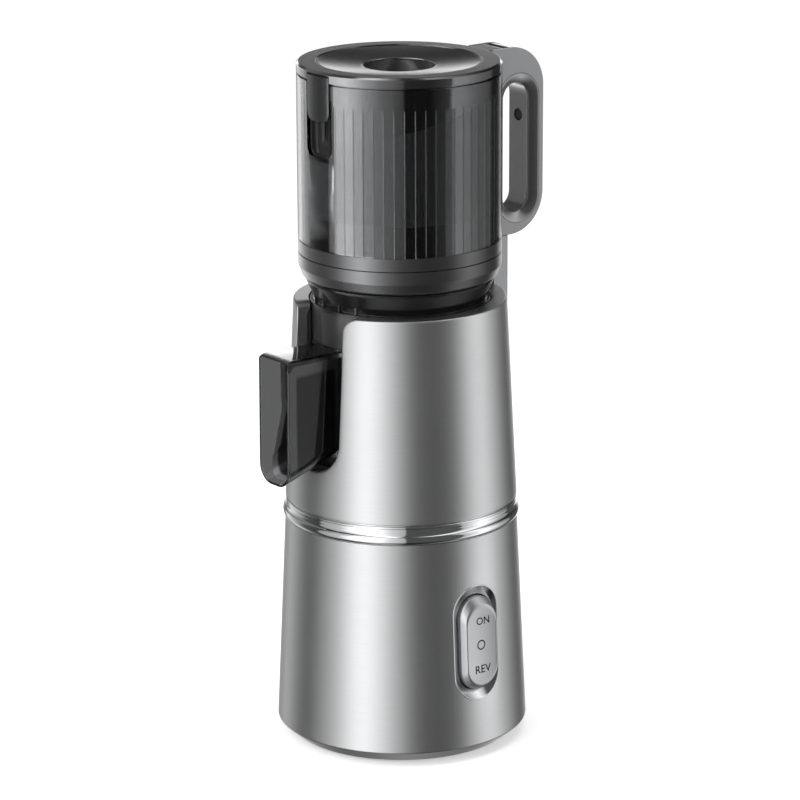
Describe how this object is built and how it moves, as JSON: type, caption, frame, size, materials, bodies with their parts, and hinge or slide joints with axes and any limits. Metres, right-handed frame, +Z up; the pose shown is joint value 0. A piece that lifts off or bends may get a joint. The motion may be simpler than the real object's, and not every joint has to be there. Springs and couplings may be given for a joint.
{
  "type": "cold press juicer",
  "caption": "Upright cold press juicer: tapered metal housing, side rocker switch, clear hopper with hinged lid and handle, and a lift-out bowl with an open spout.",
  "frame": {"origin": "on the machine's vertical axis, in the plane that the rubber feet stand on", "axes": "+Z up; -Y towards the spout; +Y towards the handle and rear post; +X towards the rocker switch"},
  "size_m": [0.1631, 0.2054, 0.4353],
  "materials": {
    "silver": "satin metallic",
    "polished": "polished",
    "knob_face": "satin metallic plating",
    "graphite_gloss": "glossy",
    "graphite_matte": "fine matte",
    "smoke_clear": "clear, smoke tinted",
    "dish_metal": "brushed, tinted",
    "steel": "machined",
    "gear_nylon": "moulded",
    "soft_rubber": "matte",
    "board_green": "matte",
    "contact_brass": "bright"
  },
  "bodies": {
    "housing": {"base_shell": "silver", "base_skirt": "silver", "bottom_plate": "graphite_matte", "rubber_feet": "soft_rubber", "plate_screws": "steel", "motor_cradle": "graphite_matte", "motor_dampers": "soft_rubber", "motor_can": "steel", "gearbox_cup": "graphite_matte", "gearbox_cover": "graphite_matte", "idler_pin": "steel", "shaft_bearings": "steel", "shaft_seal": "soft_rubber", "deck": "graphite_matte", "chrome_ring": "polished", "upper_shell": "silver", "shell_rim": "silver", "shell_liner": "graphite_matte", "rear_post": "silver", "interlock_switch": "graphite_matte", "switch_bezel": "polished", "switch_body": "graphite_matte", "control_board": "board_green", "power_inlet": "graphite_matte", "inlet_pins": "contact_brass"},
    "rocker": {"rocker_knob": "knob_face"},
    "rotor": {"motor_rotor": "steel", "motor_fan": "graphite_matte", "motor_pinion": "steel"},
    "idler": {"idler_gear": "gear_nylon"},
    "output": {"output_gear": "gear_nylon", "output_shaft": "steel"},
    "interlock": {"interlock_rod": "steel"},
    "bowl": {"juice_bowl": "graphite_gloss", "bowl_floor": "graphite_gloss", "bowl_neck": "graphite_gloss", "hub_seal": "soft_rubber", "strainer": "graphite_matte", "strainer_frame": "graphite_matte", "juice_spout": "smoke_clear", "spout_frame": "graphite_gloss"},
    "screw": {"auger_core": "graphite_matte", "auger_flights": "graphite_matte", "cutting_wing": "graphite_matte"},
    "hopper_unit": {"hopper_ring": "graphite_gloss", "hopper": "smoke_clear", "ribbed_drum": "smoke_clear", "latch_pocket": "graphite_matte", "handle_core": "graphite_gloss", "handle_plates": "silver", "grip_liner": "graphite_matte", "grip_plug": "soft_rubber", "hinge_pin": "steel"},
    "lid": {"lid_ring": "graphite_gloss", "lid_skirt": "graphite_matte", "lid_dish": "dish_metal", "feed_tube": "graphite_matte", "lid_gasket": "soft_rubber", "latch_tab": "graphite_gloss", "hinge_block": "graphite_gloss"}
  },
  "joints": [
    {"name": "switch_tilt", "type": "hinge", "parent": "housing", "child": "rocker", "pos_m": [0.07238, 0, 0.07589], "axis": [0, 1, 0], "range_deg": [-6, 6]},
    {"name": "rotor_spin", "type": "hinge", "parent": "housing", "child": "rotor", "pos_m": [0, 0, 0.08], "axis": [0, 0, 1], "continuous": true},
    {"name": "idler_spin", "type": "hinge", "parent": "housing", "child": "idler", "pos_m": [0, 0.03, 0.124], "axis": [0, 0, 1], "continuous": true},
    {"name": "output_spin", "type": "hinge", "parent": "housing", "child": "output", "pos_m": [0, 0, 0.14], "axis": [0, 0, 1], "continuous": true},
    {"name": "rod_press", "type": "slide", "parent": "housing", "child": "interlock", "axis": [0, 0, 1], "range_m": [-0.002, 0], "stiffness_N_per_m": 300, "springref_m": 0.001},
    {"name": "bowl_lift", "type": "slide", "parent": "housing", "child": "bowl", "axis": [0, 0, 1], "range_m": [0, 0.13]},
    {"name": "screw_spin", "type": "hinge", "parent": "bowl", "child": "screw", "pos_m": [0, 0, 0.22], "axis": [0, 0, 1], "continuous": true},
    {"name": "hopper_lift", "type": "slide", "parent": "bowl", "child": "hopper_unit", "axis": [0, 0, 1], "range_m": [0, 0.04]},
    {"name": "lid_swing", "type": "hinge", "parent": "hopper_unit", "child": "lid", "pos_m": [0, 0.074, 0.4295], "axis": [-1, 0, 0], "range_deg": [0, 100]}
  ],
  "couplings": [
    {"joint": "idler_spin", "follows": "rotor_spin", "ratio": -0.25},
    {"joint": "output_spin", "follows": "rotor_spin", "ratio": 0.0625},
    {"joint": "screw_spin", "follows": "rotor_spin", "ratio": 0.0625}
  ]
}
